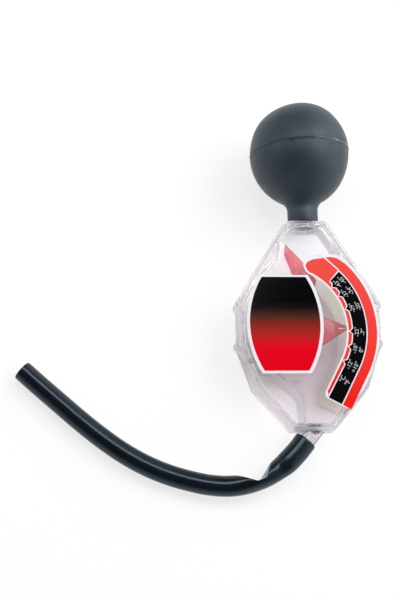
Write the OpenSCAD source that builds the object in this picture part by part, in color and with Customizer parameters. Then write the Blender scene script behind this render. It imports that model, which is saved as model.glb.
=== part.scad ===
// Antifreeze tester, lying on its back on a table.
// A rubber bulb draws coolant through a hose into a flat clear case. Inside, a red float swings on
// a pin with the density of the coolant, and its pointer shows the freezing point on a curved scale.
// Every piece is drawn in the frame of the case and then laid down as a whole: x runs across the
// case, y from its bottom edge towards the bulb, and z out of its front face, from the weld plane.
// Sizes are in millimetres and angles in degrees.

/* [Case] */
// Width of the case across its flanks, without the finger bumps
case_w = 70.4; // [69:0.2:76]
// Length of the case from its bottom edge to its top edge
case_len = 104.5; // [102:0.5:110]
// Thickness of the case over both faces
case_t = 21; // [20:0.5:24]
// Wall thickness of the two shells
wall = 2; // [1.6:0.1:2.4]
// Width of the top edge before its corners are rounded
top_w = 20; // [19:0.5:23]
// Width of the bottom edge before its corners are rounded
bottom_w = 20; // [19:0.5:23]
// Width across the shoulders, where the upper sides change direction
shoulder_w = 45.4; // [43:0.2:48]
// Height of the shoulders above the bottom edge
shoulder_y = 84.5; // [82:0.5:87]
// Height at which the straight flanks end
flank_top_y = 63.5; // [61:0.5:66]
// Height at which the straight flanks begin
flank_low_y = 41; // [39:0.5:43]
// Width across the hips, where the lower sides change direction
hip_w = 56.6; // [54:0.2:59]
// Height of the hips above the bottom edge
hip_y = 21; // [19:0.5:24]
// Rounding of the corners of the outline
corner_r = 4; // [3:0.5:5]
// Rounding of the edges of both faces
edge_r = 1; // [0.6:0.1:1.4]
// How much smaller both faces are than the weld plane, all round
lean = 1.2; // [0.6:0.1:1.6]
// How far the bead along the weld stands proud
bead_h = 0.3; // [0.2:0.1:0.6]
// Thickness of the weld bead over both shells
bead_t = 1; // [0.8:0.2:2]

/* [Finger bumps] */
// Length of a finger bump along the flank
bump_len = 6; // [4.5:0.5:8]
// How far a finger bump stands out of the flank
bump_h = 1; // [0.4:0.1:1.4]
// How far the finger bumps reach along the flank from the weld plane, to either face
bump_half = 6; // [4:0.5:8]
// Distance between the two bumps of a flank
bump_gap = 19; // [16:0.5:22]

/* [Inside walls] */
// Thickness of the walls inside the case
rib_t = 1.4; // [1.2:0.1:2]
// Clear width between the two neck walls
throat_w = 27.6; // [26:0.2:30]
// Height of the lower end of the straight neck walls
throat_low_y = 85; // [83:0.5:88]
// Distance from the case's middle to the guide wall beside the inlet
guide_x = 4.8; // [4.4:0.1:6]

/* [Float and pointer] */
// Distance of the pivot from the middle of the case, to the left
pivot_off = 13.8; // [12:0.2:15]
// Height of the pivot above the bottom edge
pivot_y = 48.4; // [46:0.2:51]
// Diameter of the pivot pin
pin_d = 2; // [1.6:0.1:2.4]
// Length of pin held in each boss
pin_hold = 4.4; // [3:0.2:4.8]
// Diameter of the bosses that hold the pin
boss_d = 5.6; // [5:0.2:7]
// Thickness of the float's hub and body
float_t = 5.6; // [4.6:0.2:6.4]
// Diameter of the float's hub
hub_d = 8; // [7:0.5:9]
// Thickness of the pointer's blade
pointer_t = 1.4; // [1:0.1:2]
// Distance from the pivot to the pointer's tip
pointer_r = 35; // [33:0.5:36.5]
// Half the angle of the pointer's tip
pointer_half = 27.5; // [24:0.5:30]
// Distance from the pivot to the back of the arrow head
arrow_back = 17; // [15:0.5:19]
// Width of the reading slot along the pointer's tip
slot_w = 0.7; // [0.5:0.1:1]
// Where the pointer rests, counted from straight across the case
pointer_rest = 5; // [0:0.5:10]
// Distance from the pivot to the counterweight
weight_off = 9; // [8.5:0.25:10]
// Diameter of the counterweight
weight_d = 4.6; // [4:0.2:5]

/* [Level blade] */
// Thickness of the red blade whose tip marks the filling level
blade_t = 1.5; // [1.2:0.1:1.8]
// Height of the blade's tip above the bottom edge
blade_tip_y = 95.6; // [94:0.2:97]
// Distance of the blade's tip from the middle of the case, to the left
blade_tip_off = 8.6; // [8:0.2:9.5]
// Diameter of the two pegs that hold the blade
peg_d = 2.6; // [2:0.2:3]
// Distance between the two pegs
peg_gap = 7.5; // [7:0.25:9]

/* [Labels] */
// Thickness of a label
label_t = 0.2; // [0.1:0.05:0.4]
// Greatest width of the middle label
badge_w = 37.4; // [35:0.2:38]
// Width of the middle label at its top and bottom edges
badge_end_w = 23.8; // [22:0.2:26]
// Height of the middle label
badge_h = 48.5; // [46:0.5:50]
// Inner radius of the scale label, round the pivot
scale_in_r = 31; // [30:0.25:31.5]
// Width of the scale label
scale_w = 16.1; // [15:0.1:16.6]
// Radius of the round end of the scale label's upper tab
tab_r = 5; // [4.4:0.1:5.4]
// Angle at which the tab's round end is centred
tab_angle = 63.5; // [61:0.5:65]
// Angle at which the tab's upper corner lies
tab_corner = 50; // [47:0.5:52]
// Angle at which the scale's lower end turns straight
scale_low = -27.8; // [-30:0.2:-26]
// Length of the straight lower end of the scale label
scale_straight = 20.2; // [17:0.1:20.5]

/* [Bulb] */
// Diameter of the bulb
bulb_d = 50; // [48:0.5:54]
// Length of the bulb's round part along its axis, twice its upper half
bulb_len = 53; // [50:0.5:56]
// How much longer the bulb's lower half is than its upper half
bulb_sag = 1.1; // [0.5:0.1:2]
// Height of the bulb's middle above the case's top edge
bulb_rise = 37.2; // [36:0.1:40]
// Thickness of the rubber
bulb_wall = 2.2; // [1.8:0.1:3]
// Height of the moulding line round the bulb
seam_h = 0.25; // [0.15:0.05:0.4]
// Outer diameter of the bulb's neck
neck_d = 15.2; // [14.8:0.2:17]

/* [Fittings] */
// Outer diameter of the upper fitting, which holds the bulb
nipple_d = 12; // [11.4:0.1:12.6]
// Bore of the upper fitting
nipple_bore = 9.6; // [8.5:0.1:10]
// How far the upper fitting reaches into the bulb
nipple_up = 9; // [7:0.25:10]
// Thickness of the fittings' collars inside the case
collar_t = 1.2; // [1:0.1:1.6]
// Diameter of the inlet tube where it leaves the case
spout_d = 9; // [8.6:0.1:9.4]
// Diameter of the inlet tube inside the hose
spout_tip_d = 8; // [7.4:0.1:8.4]
// Bore of the inlet tube
spout_bore = 5.6; // [5:0.1:6]
// Angle of the inlet tube from the case's axis
spout_angle = 40; // [35:1:45]
// Length of the inlet tube from the bottom edge to its end
spout_len = 15; // [14:0.25:17]
// Length of the inlet tube that shows between the case and the hose
spout_bare = 4.8; // [4.4:0.1:6]

/* [Hose] */
// Outer diameter of the hose
hose_d = 10; // [9.6:0.1:10.4]

/* [Fits] */
// Gap all round the pin in the float's hub
run_gap = 0.05; // [0.03:0.01:0.08]
// Gap between the float's hub and each boss
side_gap = 0.3; // [0.2:0.05:0.5]
// Gap all round a fitting, peg or weight in its seat
seat_gap = 0.05; // [0.02:0.01:0.1]

/* [Hidden] */

half_t = case_t / 2;
face_z = half_t - wall;
wall_mid = wall / 2;
pivot = [-pivot_off, pivot_y];
boss_z = float_t / 2 + side_gap;
scale_out_r = scale_in_r + scale_w;
bulb_y = case_len + bulb_rise;
bulb_r = bulb_d / 2;
bulb_a = bulb_len / 2;
seam_w = 0.8;
end_r = 2.4;
skin = 0.02;
arc_steps = 4;
edge_steps = 3;
pin_ends = boss_z + pin_hold;

// Collars of the two fittings inside the case
nipple_collar = nipple_d + 3;
spout_collar = spout_d + 4;

// The case lies on the lower end of its flat rear face and on the bulb's moulding line
rest_y = lean + edge_r;
tilt = atan((bulb_r + seam_h - half_t) / (bulb_y - rest_y));
lift = half_t * cos(tilt) - rest_y * sin(tilt);
spout_run = cos(spout_angle) * cos(tilt);
low_y = -spout_len * spout_run - spout_tip_d / 2 * sqrt(1 - spout_run * spout_run);
high_y = bulb_y * cos(tilt) + sqrt(pow(bulb_a * cos(tilt), 2) + pow(bulb_r * sin(tilt), 2));
mid_y = (low_y + high_y) / 2;

// Corners of the right half of the outline, from the top down
right_corners = [
    [top_w / 2, case_len],
    [shoulder_w / 2, shoulder_y],
    [case_w / 2, flank_top_y],
    [case_w / 2, flank_low_y],
    [hip_w / 2, hip_y],
    [bottom_w / 2, 0]
];
corners = concat(right_corners, [for (i = [len(right_corners) - 1 : -1 : 0])
    [-right_corners[i].x, right_corners[i].y]]);
// Half the width of the outline at a height
half_widths = [for (i = [len(right_corners) - 1 : -1 : 0]) [right_corners[i].y, right_corners[i].x]];
function half_w(y) = lookup(y, half_widths);

// Route of the hose over the table, from the inlet tube to its open end, in the laid frame
hose_bend = [
    [-14.6, -92.3, 8.4], [-22.4, -96.9, 7.5], [-31, -99.9, 6.6], [-40, -101.1, 5.9], [-50, -100.3, 5.4],
    [-60, -98, 5.1], [-70, -94.8, 5], [-80, -90.4, 5], [-90, -84.6, 5], [-100, -77.4, 5],
    [-110, -69.2, 5], [-120, -60.3, 5], [-130, -51.3, 5], [-138.6, -43.3, 5]
];
hose_sides = 10;
hose_rise = hose_d / 2 - 5;

// Geometry helpers
function unit(v) = v / norm(v);
function turn2(v, a) = [v.x * cos(a) - v.y * sin(a), v.x * sin(a) + v.y * cos(a)];
function polar(c, r, a) = c + r * [cos(a), sin(a)];
function arc(c, r, from, to, n) = [for (i = [0 : n]) polar(c, r, from + (to - from) * i / n)];
function right_of(a, b) = let (d = unit(b - a)) [d.y, -d.x];
function moved_in(pts, e) = let (n = len(pts)) [for (i = [0 : n - 1])
    let (p = right_of(pts[(i + n - 1) % n], pts[i]), q = right_of(pts[i], pts[(i + 1) % n]))
    pts[i] + (p + q) * e / (1 + p * q)];
function rounded(pts, r) = let (n = len(pts)) [for (i = [0 : n - 1])
    let (b = pts[i], u = unit(pts[(i + n - 1) % n] - b), v = unit(pts[(i + 1) % n] - b))
    let (half = acos(u * v) / 2, c = b + unit(u + v) * r / sin(half), from = b + u * r / tan(half) - c)
    for (k = [0 : arc_steps]) c + turn2(from, -(180 - 2 * half) * k / arc_steps)];
function outline(e) = rounded(moved_in(corners, e), max(corner_r - e, 0.6));
flat_face = outline(lean + edge_r);

// Straight strip of wall between two points of the plan, round at its second point
module strip(a, b, h) {
    d = unit(b - a);
    s = [-d.y, d.x] * rib_t / 2;
    linear_extrude(height = h) polygon([a + s, b + s, b - s, a - s]);
    translate([b.x, b.y, 0]) cylinder(d = rib_t, h = h, $fn = 24);
}

// Solid of half the case, on one side of the weld plane, drawn in by e; its sides lean inwards
module half_block(e, h, r) {
    hull() {
        linear_extrude(height = skin) polygon(outline(e));
        for (i = [0 : edge_steps]) {
            turn = 90 * i / edge_steps;
            inset = e + lean * (1 - r / h) + (lean * r / h + r) * (1 - cos(turn));
            translate([0, 0, h - r + r * sin(turn) - skin])
                linear_extrude(height = skin) polygon(outline(inset));
        }
    }
}

// The two finger bumps of each flank, as high at the weld plane as their height says
module bumps() {
    low = bump_h + lean;
    r = (bump_len * bump_len / 4 + low * low) / (2 * low);
    x = case_w / 2 + bump_h - r;
    mid = (flank_top_y + flank_low_y) / 2;
    for (side = [-1, 1])
        for (end = [-1, 1])
            translate([side * x, mid + end * bump_gap / 2, 0]) cylinder(r = r, h = bump_half, $fn = 48);
}

// The bent line of walls inside the case: the neck, and the guide beside the inlet
ceiling_y = case_len - wall;
floor_top = wall + collar_t;
throat_x = (throat_w + rib_t) / 2;
side_n = unit([case_len - shoulder_y, (shoulder_w - top_w) / 2]);
throat_top_y = case_len - (wall_mid + side_n.x * (throat_x - top_w / 2)) / side_n.y;
throat_end_y = flank_top_y + 5;
guide_start_y = flank_low_y - 6;
guide_turn_y = hip_y - 2.2;
guide = [
    [wall_mid - half_w(guide_start_y), guide_start_y],
    [-guide_x - 14.4, guide_turn_y + 10.4],
    [-guide_x - 2.2, guide_turn_y],
    [-guide_x, guide_turn_y - 3.4],
    [-guide_x, floor_top + rib_t / 2 + seat_gap]
];
module throat_walls(h) {
    for (side = [-1, 1]) {
        strip([side * throat_x, throat_top_y], [side * throat_x, throat_low_y], h);
        strip([side * throat_x, throat_low_y], [side * (half_w(throat_end_y) - wall_mid), throat_end_y], h);
    }
}
module guide_walls(h) {
    for (i = [0 : len(guide) - 2])
        strip(guide[i], guide[i + 1], h);
}

// The walls stay within the leaning sides, and the boss holds one end of the pin
module inside() {
    h = face_z + wall_mid;
    intersection() {
        union() {
            throat_walls(h);
            guide_walls(h);
        }
        linear_extrude(height = h) polygon(outline(lean + wall / 5));
    }
    translate([pivot.x, pivot.y, boss_z]) cylinder(d = boss_d, h = h - boss_z, $fn = 48);
}

// Cylinder along the case's axis, from a height upwards
module upright(y, d, h) {
    translate([0, y, 0]) rotate([-90, 0, 0]) cylinder(d = d, h = h, $fn = 64);
}

// Bores of both shells: the pin, both fittings with the seats of their collars, and the flat land
// of the bulb's neck
module bores() {
    translate([pivot.x, pivot.y, boss_z - 1]) cylinder(d = pin_d, h = pin_hold + 1, $fn = 48);
    upright(ceiling_y - wall, nipple_d + 2 * seat_gap, 3 * wall);
    upright(ceiling_y - collar_t - seat_gap, nipple_collar + 2 * seat_gap, collar_t + seat_gap);
    upright(case_len, neck_d + 2 * seat_gap, 2 * bead_h);
    upright(wall, spout_collar + 2 * seat_gap, collar_t + seat_gap);
    spout_place() translate([0, 0, -2 * spout_d])
        cylinder(d = spout_d + 2 * seat_gap, h = 4 * spout_d, $fn = 64);
}

// One shell without what the front and the rear have alone
module shell_half() {
    difference() {
        union() {
            difference() {
                union() {
                    half_block(0, half_t, edge_r);
                    bumps();
                    linear_extrude(height = bead_t / 2) polygon(outline(-bead_h));
                }
                translate([0, 0, -skin]) half_block(wall, face_z + skin, max(edge_r - wall_mid, 0.8));
            }
            inside();
        }
        bores();
    }
}

module front_shell() {
    color([0.86, 0.87, 0.92, 0.35]) shell_half();
}

// Level blade: an arrow-like red plate on two pegs of the rear shell
blade_z = -boss_z - 1.9;
blade_tip = [-blade_tip_off, blade_tip_y];
blade_foot = [1, 68];
blade_lean = -68;
blade_heel = polar(blade_foot, peg_gap, blade_lean);
foot_r = peg_d / 2 + 2.9;
heel_r = peg_d / 2 + 2.3;
peg_step = 1.2;
blade_plan = [
    blade_tip,
    blade_tip + [8.9, -9.7],
    blade_foot + [5.4, 8.7],
    blade_foot + [4.6, 6.2],
    polar(blade_foot, foot_r, 10),
    polar(blade_heel, heel_r, 10),
    polar(blade_heel, heel_r, blade_lean),
    polar(blade_heel, heel_r, -150),
    polar(blade_foot, foot_r, 190),
    blade_foot + [-6.4, 11.5],
    blade_tip + [-0.6, -5.4]
];
module pegs(d, z, h) {
    for (p = [blade_foot, blade_heel])
        translate([p.x, p.y, z]) cylinder(d = d, h = h, $fn = 48);
}

module rear_shell() {
    color([0.84, 0.85, 0.9, 0.35]) {
        mirror([0, 0, 1]) shell_half();
        pegs(peg_d + 2 * peg_step, -face_z - wall_mid, face_z + wall_mid + blade_z - blade_t);
        pegs(peg_d, -face_z, face_z + blade_z + peg_d / 6);
    }
}

module level_blade() {
    color([0.86, 0.2, 0.28])
        difference() {
            translate([0, 0, blade_z - blade_t]) linear_extrude(height = blade_t) polygon(blade_plan);
            pegs(peg_d + 2 * seat_gap, blade_z - blade_t - 1, blade_t + 2);
        }
}

// Frame of the float: the pivot, turned to where the pointer rests
module float_place() {
    translate([pivot.x, pivot.y, 0]) rotate([0, 0, pointer_rest]) children();
}
function arrow_w(x) = (pointer_r - x) * tan(pointer_half);

// Plan of the float, as half widths along its axis: the tail, the hub, the narrow neck and the head
tail_rim = 1.3;
neck_half = 3.6;
neck_x = arrow_back - 4;
head_inset = 0.5;
head_x = arrow_back + 1;
head_end = pointer_r - 6.4;
slope_x = head_end - 3;
function head_w(x) = arrow_w(x) - head_inset;
float_low = [
    [-weight_off, -weight_d / 2 - tail_rim / 2],
    [0, 0.4 - hub_d / 2],
    [neck_x, -neck_half],
    [head_x, -head_w(head_x)]
];
float_body = concat(
    float_low,
    [[head_end, -head_w(head_end)], [slope_x, head_w(slope_x)]],
    [for (i = [len(float_low) - 1 : -1 : 0]) [float_low[i].x, -float_low[i].y]]);
blade_back = arrow_back - 2;
arrow_plan = [
    [0, -hub_d / 2 + 1],
    [blade_back, -neck_half - 0.4],
    [arrow_back, -arrow_w(arrow_back)],
    [pointer_r, 0],
    [arrow_back, arrow_w(arrow_back)],
    [blade_back, neck_half + 0.4],
    [0, hub_d / 2 - 1]
];
module plate(t) {
    translate([0, 0, -t / 2]) linear_extrude(height = t) children();
}
module bar(x, d, h) {
    translate([x, 0, 0]) cylinder(d = d, h = h, center = true, $fn = 64);
}

module float_pointer() {
    color([0.86, 0.16, 0.24])
        float_place() difference() {
            union() {
                bar(0, hub_d, float_t);
                bar(-weight_off, weight_d + 2 * tail_rim, float_t);
                plate(float_t) polygon(float_body);
                plate(pointer_t) polygon(arrow_plan);
            }
            bar(0, pin_d + 2 * run_gap, float_t + 2);
            bar(-weight_off, weight_d + 2 * seat_gap, float_t + 2);
            plate(2 * pointer_t) translate([head_end + 0.4, -slot_w / 2]) square([4.2, slot_w]);
        }
}

module float_weight() {
    color([0.78, 0.62, 0.3])
        float_place() bar(-weight_off, weight_d, float_t);
}

module pivot_pin() {
    color([0.75, 0.76, 0.78])
        translate([pivot.x, pivot.y, 0]) cylinder(d = pin_d, h = 2 * pin_ends, center = true, $fn = 48);
}

// Middle label: a barrel with straight ends and arched sides
badge_mid = pivot + [1.1, 2.95];
module badge_plan() {
    sag = (badge_w - badge_end_w) / 2;
    r = (badge_h * badge_h / 4 + sag * sag) / (2 * sag);
    a = asin(badge_h / 2 / r);
    c = [r - badge_w / 2, 0];
    polygon(concat(arc(badge_mid - c, r, a, -a, 12), arc(badge_mid + c, r, 180 + a, 180 - a, 12)));
}

// Scale label: a band round the pivot, straight at its lower end, with a round tab at its upper end
module scale_plan() {
    down = [sin(scale_low), -cos(scale_low)];
    tab_c = polar(pivot, scale_in_r + tab_r, tab_angle);
    in_end = polar(pivot, scale_in_r, scale_low) + down * scale_straight;
    turn_c = polar(in_end - down * end_r, end_r, scale_low);
    polygon(concat(
        [polar(pivot, scale_out_r, scale_low) + down * scale_straight],
        arc(turn_c, end_r, scale_low - 90, scale_low - 180, 2),
        arc(pivot, scale_in_r, scale_low, tab_angle, 16),
        arc(tab_c, tab_r, tab_angle + 180, 95, 8),
        [polar(pivot, scale_out_r - 0.9, tab_corner + 5)],
        arc(pivot, scale_out_r, tab_corner, scale_low, 18)));
}

// A label lies on the flat of a face and ends where the flat does
module label_on(z) {
    translate([0, 0, z]) intersection() {
        linear_extrude(height = label_t) children();
        linear_extrude(height = label_t) polygon(flat_face);
    }
}
module front_badge() {
    color([0.75, 0.05, 0.1]) label_on(half_t) badge_plan();
}
module front_scale_label() {
    color([0.9, 0.1, 0.15]) label_on(half_t) scale_plan();
}
module rear_badge() {
    color([0.75, 0.05, 0.1]) label_on(-half_t - label_t) badge_plan();
}
module rear_scale_label() {
    color([0.9, 0.1, 0.15]) label_on(-half_t - label_t) scale_plan();
}

// Upper fitting: a tube with a collar inside the case and a low barb inside the bulb's neck
barb_h = 0.4;
barb_low = nipple_up - 3;
barb_top = nipple_up - 2;
module barb() {
    crest = nipple_d + 2 * barb_h;
    translate([0, case_len + barb_low, 0]) rotate([-90, 0, 0]) {
        cylinder(d1 = nipple_d, d2 = crest, h = 1, $fn = 64);
        translate([0, 0, 1]) cylinder(d1 = crest, d2 = nipple_d, h = 2, $fn = 64);
    }
}
module bulb_nipple() {
    low = ceiling_y - collar_t;
    color([0.84, 0.85, 0.9, 0.5])
        difference() {
            union() {
                upright(low, nipple_collar, collar_t);
                upright(low, nipple_d, case_len + nipple_up - low);
                barb();
            }
            upright(low - 1, nipple_bore, case_len + nipple_up - low + 2);
            translate([0, low - skin, 0]) rotate([-90, 0, 0])
                cylinder(d1 = nipple_bore + 1, d2 = nipple_bore, h = 1, $fn = 64);
        }
}

// Frame of the inlet tube: z along its bore, from where it crosses the bottom edge
module spout_place() {
    rotate([90, 0, -spout_angle]) children();
}

// Inlet tube: a collar on the floor of the case and a slanted, slightly tapered tube
spout_step = spout_bare - 0.4;
tip_from = spout_bare + 1;
module inlet_spout() {
    deep = 2 * spout_d;
    color([0.84, 0.85, 0.9, 0.5])
        difference() {
            union() {
                upright(wall, spout_collar, collar_t);
                intersection() {
                    spout_place() translate([0, 0, -deep]) cylinder(d = spout_d, h = deep + skin, $fn = 64);
                    translate([0, floor_top - deep, 0]) cube(2 * deep, center = true);
                }
                spout_place() {
                    cylinder(d = spout_d, h = spout_step, $fn = 64);
                    translate([0, 0, spout_step])
                        cylinder(d1 = spout_d, d2 = spout_tip_d, h = tip_from - spout_step, $fn = 64);
                    translate([0, 0, tip_from])
                        cylinder(d = spout_tip_d, h = spout_len - tip_from, $fn = 64);
                }
            }
            spout_place() translate([0, 0, -deep])
                cylinder(d = spout_bore, h = deep + spout_len + 1, $fn = 64);
        }
}

// Bulb: half its section, as radius and height above its middle
function bulb_pt(r, a, t) = [r * cos(t), a * sin(t)];
function blend3(a, b, c, t) = a * (1 - t) * (1 - t) + b * 2 * t * (1 - t) + c * t * t;
bulb_low_a = bulb_a + bulb_sag;
bulb_low_t = -62;
neck_r = neck_d / 2;
neck_from = -bulb_a - 3.4;
seat_r = nipple_d / 2 + seat_gap;
bulb_section = concat(
    [for (t = [90 : -7.5 : 7.5]) bulb_pt(bulb_r, bulb_a, t)],
    [[bulb_r, seam_w / 2], [bulb_r + seam_h, seam_w / 4]],
    [[bulb_r + seam_h, -seam_w / 4], [bulb_r, -seam_w / 2]],
    [for (t = [-7.5 : -7.5 : bulb_low_t + 1]) bulb_pt(bulb_r, bulb_low_a, t)],
    [for (t = [0 : 0.2 : 1]) blend3(bulb_pt(bulb_r, bulb_low_a, bulb_low_t),
        [neck_r + 0.6, -bulb_a + 0.3], [neck_r, neck_from], t)],
    [[neck_r, -bulb_rise], [seat_r, -bulb_rise], [seat_r, barb_low - bulb_rise]],
    [[seat_r + barb_h, barb_top - bulb_rise], [seat_r, nipple_up - bulb_rise]],
    [[neck_r - bulb_wall, nipple_up - bulb_rise + 0.6]],
    [for (t = [-68 : 8 : 84]) bulb_pt(bulb_r - bulb_wall, bulb_a - bulb_wall, t)],
    [[0, bulb_a - bulb_wall]]);
module bulb() {
    color([0.23, 0.27, 0.3])
        translate([0, bulb_y, 0]) rotate([-90, 0, 0]) rotate_extrude($fn = 96) polygon(bulb_section);
}

// The whole tester laid on the table, with the middle of its length over the origin
module laid() {
    translate([0, -mid_y, lift]) rotate([tilt, 0, 0]) children();
}
function laid_pt(p) = [
    p.x,
    p.y * cos(tilt) - p.z * sin(tilt) - mid_y,
    p.y * sin(tilt) + p.z * cos(tilt) + lift
];

// Hose: it starts along the inlet tube and then follows its route over the table
function spout_pt(s) = laid_pt([-s * sin(spout_angle), -s * cos(spout_angle), 0]);
hose_route = concat(
    [spout_pt(spout_bare), spout_pt(spout_len - 3)],
    [for (p = hose_bend) p + [0, 0, hose_rise]]);
function way(r, i) = unit(r[min(i + 1, len(r) - 1)] - r[max(i - 1, 0)]);
function ring(c, d, r, n) = let (s = unit(cross(d, [0, 0, 1])), u = cross(s, d))
    [for (k = [0 : n - 1]) c + r * (cos(360 * (k + 0.5) / n) * s + sin(360 * (k + 0.5) / n) * u)];
module tube(route, r, n) {
    last = len(route) - 1;
    points = [for (i = [0 : last]) each ring(route[i], way(route, i), r, n)];
    sides = [for (i = [0 : last - 1], k = [0 : n - 1]) each [
        [i * n + k, i * n + (k + 1) % n, (i + 1) * n + k],
        [i * n + (k + 1) % n, (i + 1) * n + (k + 1) % n, (i + 1) * n + k]]];
    ends = [for (k = [1 : n - 2]) each [[0, k + 1, k], [last * n, last * n + k, last * n + k + 1]]];
    polyhedron(points, concat(sides, ends), convexity = 4);
}
module hose() {
    color([0.08, 0.09, 0.1]) tube(hose_route, hose_d / 2, hose_sides);
}

laid() front_shell();
laid() rear_shell();
laid() bulb_nipple();
laid() inlet_spout();
laid() bulb();
hose();
laid() float_pointer();
laid() float_weight();
laid() pivot_pin();
laid() level_blade();
laid() front_badge();
laid() front_scale_label();
laid() rear_badge();
laid() rear_scale_label();
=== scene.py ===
import math
import bmesh
import bpy
from mathutils import Matrix, Vector, noise


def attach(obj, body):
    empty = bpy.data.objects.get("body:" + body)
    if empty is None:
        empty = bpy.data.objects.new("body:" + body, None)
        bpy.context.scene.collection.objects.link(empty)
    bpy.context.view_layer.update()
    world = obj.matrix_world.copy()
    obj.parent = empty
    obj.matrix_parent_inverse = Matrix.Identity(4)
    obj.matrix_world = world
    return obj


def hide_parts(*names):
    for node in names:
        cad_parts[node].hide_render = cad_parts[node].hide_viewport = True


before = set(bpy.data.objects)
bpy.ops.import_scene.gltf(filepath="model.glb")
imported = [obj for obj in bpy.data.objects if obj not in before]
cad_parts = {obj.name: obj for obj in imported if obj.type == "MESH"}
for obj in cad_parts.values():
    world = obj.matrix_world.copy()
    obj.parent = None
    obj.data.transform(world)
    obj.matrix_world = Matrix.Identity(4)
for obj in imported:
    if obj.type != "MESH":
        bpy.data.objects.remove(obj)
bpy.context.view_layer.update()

# The frame of the case, in millimetres, and how it lies on the table
MM = 0.001
HALF_T, CASE_LEN, BULB_RISE, REST_Y = 10.5, 104.5, 37.2, 2.2
BULB_R, BULB_A, SEAM_H = 25.0, 26.5, 0.25
SPOUT_TURN, SPOUT_LEN, TIP_R = math.radians(40), 15.0, 4.0
BULB_Y = CASE_LEN + BULB_RISE
TILT = math.atan((BULB_R + SEAM_H - HALF_T) / (BULB_Y - REST_Y))
LIFT = HALF_T * math.cos(TILT) - REST_Y * math.sin(TILT)
RUN = math.cos(SPOUT_TURN) * math.cos(TILT)
LOW_Y = -SPOUT_LEN * RUN - TIP_R * math.sqrt(1 - RUN * RUN)
HIGH_Y = BULB_Y * math.cos(TILT) + math.hypot(BULB_A * math.cos(TILT), BULB_R * math.sin(TILT))
MID_Y = (LOW_Y + HIGH_Y) / 2
CASE = Matrix.Translation((0, -MID_Y * MM, LIFT * MM)) @ Matrix.Rotation(TILT, 4, "X") @ Matrix.Scale(MM, 4)
PIVOT = Vector((-13.8, 48.4, 0))
POINTER_REST = math.radians(5)
FLOAT = CASE @ Matrix.Translation(PIVOT) @ Matrix.Rotation(POINTER_REST, 4, "Z")
# the level blade's two pegs in the rear shell
PEGS = [(1, 68), (3.81, 61.05)]


# ------------------------------------------------------------------ camera
CAMERA_AT = (-0.1161, -0.2172, 0.5956)
CAMERA_RIGHT = (0.99468, -0.03284, 0.09752)
CAMERA_BACK = (-0.10283, -0.33328, 0.93720)
CAMERA_LENS = 75.858


def make_camera():
    data = bpy.data.cameras.new("camera")
    data.sensor_fit = "AUTO"
    data.sensor_width = 36.0
    data.lens = CAMERA_LENS
    data.clip_start = 0.01
    cam = bpy.data.objects.new("camera", data)
    right = Vector(CAMERA_RIGHT).normalized()
    back = Vector(CAMERA_BACK)
    back = (back - right * back.dot(right)).normalized()
    up = back.cross(right)
    m = Matrix((right, up, back)).transposed().to_4x4()
    m.translation = Vector(CAMERA_AT)
    cam.matrix_world = m
    bpy.context.scene.collection.objects.link(cam)
    bpy.context.scene.camera = cam


make_camera()


# ------------------------------------------------------------------ mesh helpers
def link(name, bm, matrix=None, angle=35, body="tester"):
    """Object of a bmesh moved by the matrix, smooth up to an angle between faces. Tools have no body."""
    if matrix is not None:
        bm.transform(matrix)
    bmesh.ops.recalc_face_normals(bm, faces=bm.faces)
    if bm.calc_volume(signed=True) < 0:
        bmesh.ops.reverse_faces(bm, faces=bm.faces)
    mesh = bpy.data.meshes.new(name)
    bm.to_mesh(mesh)
    bm.free()
    obj = bpy.data.objects.new(name, mesh)
    bpy.context.scene.collection.objects.link(obj)
    smooth(obj, angle)
    if body:
        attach(obj, body)
    return obj


def smooth(obj, angle):
    obj.data.shade_smooth()
    obj.data.set_sharp_from_angle(angle=math.radians(angle))


def skin(bm, a, b):
    """Faces between two closed rings of vertices with one count."""
    for i in range(len(a)):
        j = (i + 1) % len(a)
        bm.faces.new((a[i], a[j], b[j], b[i]))


def loft(bm, rings, cap_start=False, cap_end=False):
    """Skin over closed rings of points with one count."""
    rows = [[bm.verts.new(p) for p in ring] for ring in rings]
    for a, b in zip(rows, rows[1:]):
        skin(bm, a, b)
    if cap_start:
        bm.faces.new(rows[0][::-1])
    if cap_end:
        bm.faces.new(rows[-1])
    return rows


def lathe(bm, profile, n, axis="y", around=True):
    """Turned solid of (radius, height) points. A radius of 0 closes it; around joins its two ends."""
    rows = []
    for r, h in profile:
        ring = []
        for i in range(n if r > 1e-6 else 1):
            a = 2 * math.pi * i / n
            x, z = r * math.cos(a), r * math.sin(a)
            ring.append(bm.verts.new((x, h, -z) if axis == "y" else (x, z, h)))
        rows.append(ring)
    pairs = list(zip(rows, rows[1:])) + ([(rows[-1], rows[0])] if around else [])
    for a, b in pairs:
        for i in range(n):
            j = (i + 1) % n
            if len(a) == 1:
                bm.faces.new((a[0], b[j], b[i]))
            elif len(b) == 1:
                bm.faces.new((a[i], a[j], b[0]))
            else:
                bm.faces.new((a[i], a[j], b[j], b[i]))


def prism(bm, pts, z0, z1):
    """Straight solid over a plan."""
    loft(bm, [[Vector((p[0], p[1], z)) for p in pts] for z in (z0, z1)], cap_start=True, cap_end=True)


def rod(bm, centre, r, z0, z1, n=32, axis="z"):
    """Round bar along z, or along y with its centre in x and z."""
    rings = []
    for h in (z0, z1):
        ring = []
        for i in range(n):
            a = 2 * math.pi * i / n
            x, y = r * math.cos(a), r * math.sin(a)
            ring.append(Vector((centre[0] + x, centre[1] + y, h)) if axis == "z"
                        else Vector((centre[0] + x, h, centre[1] - y)))
        rings.append(ring)
    loft(bm, rings, cap_start=True, cap_end=True)


def merge(bm, other):
    """Adds the other bmesh to the first one and frees it."""
    tmp = bpy.data.meshes.new("tmp")
    other.to_mesh(tmp)
    other.free()
    bm.from_mesh(tmp)
    bpy.data.meshes.remove(tmp)


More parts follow.
